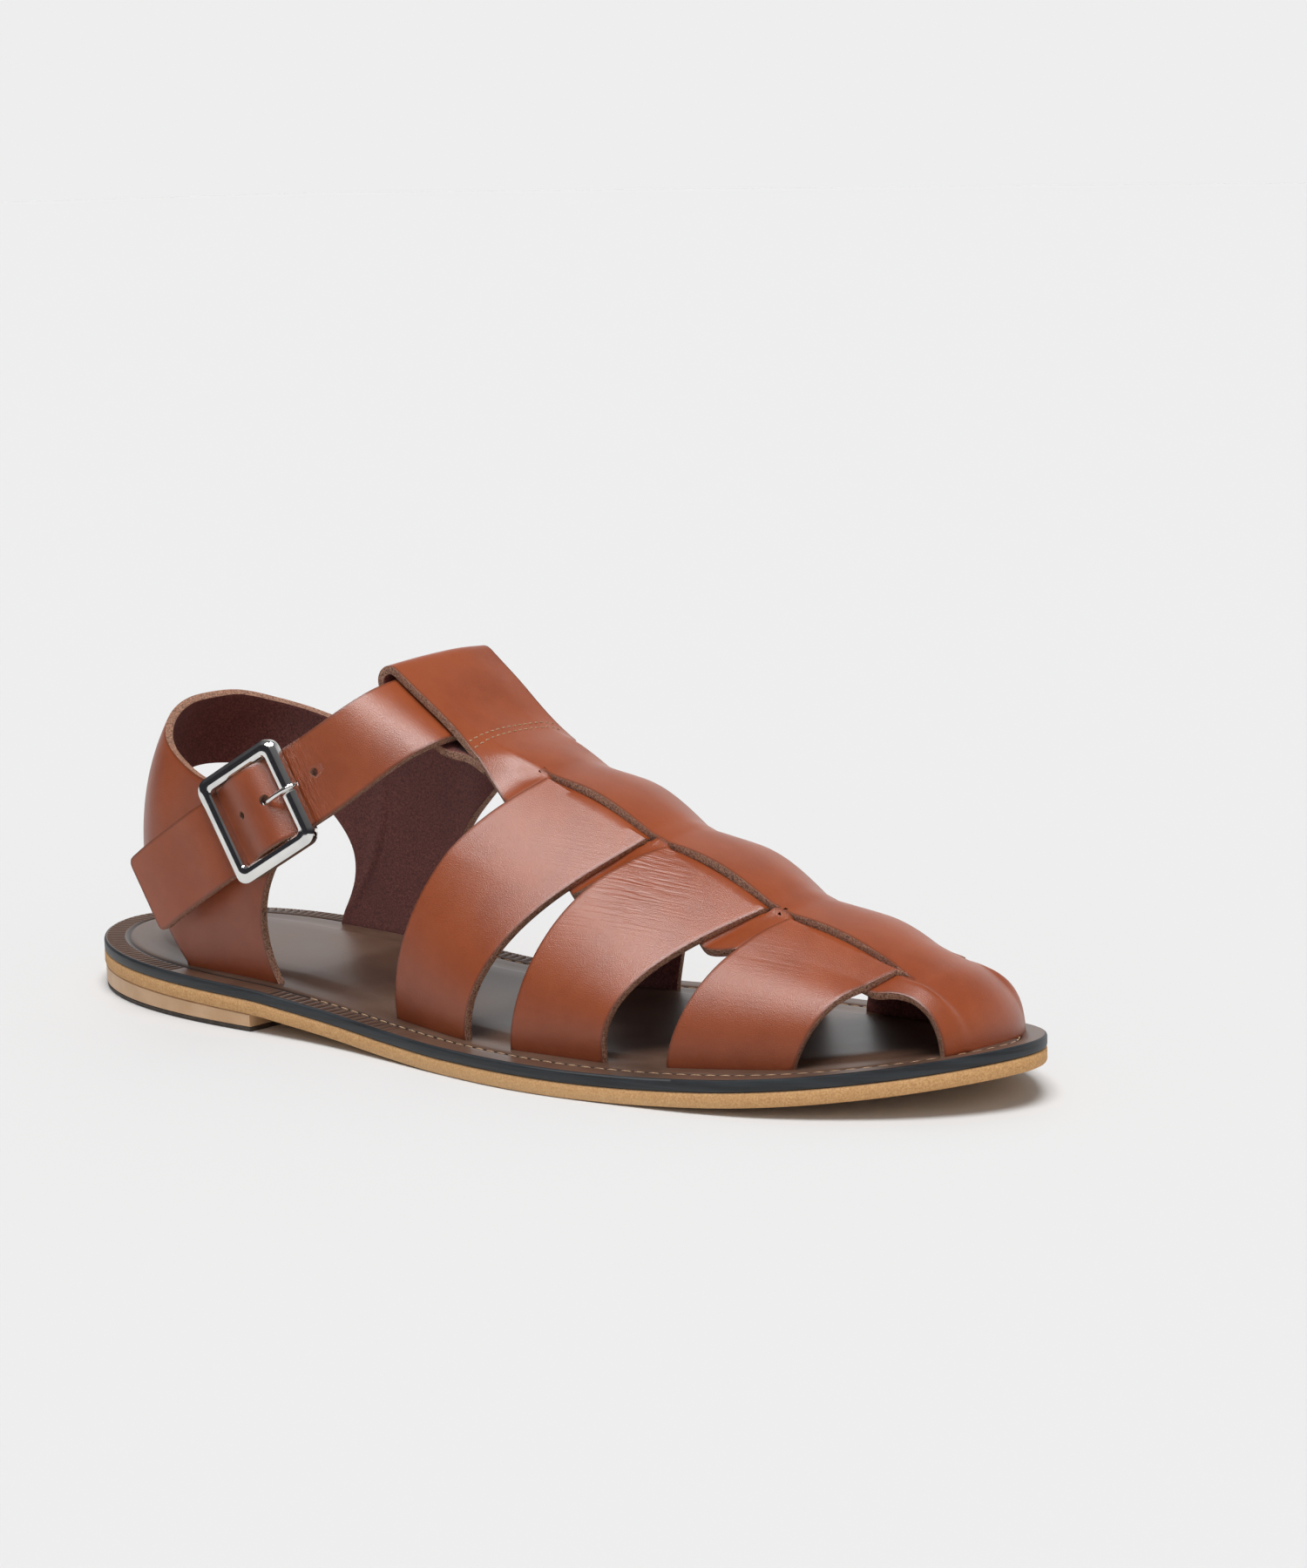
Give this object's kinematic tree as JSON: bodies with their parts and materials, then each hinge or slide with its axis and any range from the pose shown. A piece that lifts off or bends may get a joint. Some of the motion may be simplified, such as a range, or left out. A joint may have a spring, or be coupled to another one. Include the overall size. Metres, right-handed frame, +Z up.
{
  "type": "sandal",
  "caption": "Right leather fisherman sandal: side straps woven under a slit centre strip, heel strap and ankle strap with a buckle, on a flat leather sole with a low heel.",
  "frame": {"origin": "middle of the sole's length and width, on the floor under it", "axes": "+X to the toe, +Y to the inner side of the foot, +Z up"},
  "size_m": [0.2936, 0.1022, 0.094],
  "materials": {
    "outsole_leather": "matte",
    "heel_leather": "matte",
    "heel_rubber": "matte",
    "insole_leather": "satin",
    "strap_leather": "satin",
    "rear_leather": "satin",
    "buckle_metal": "polished",
    "prong_metal": "polished",
    "thread": "matte"
  },
  "bodies": {
    "root": {"outsole": "outsole_leather", "heel_lift": "heel_leather", "heel_top_piece": "heel_rubber", "insole": "insole_leather", "upper": "strap_leather", "quarter": "rear_leather", "buckle_frame": "buckle_metal", "buckle_prong": "prong_metal"}
  },
  "joints": []
}
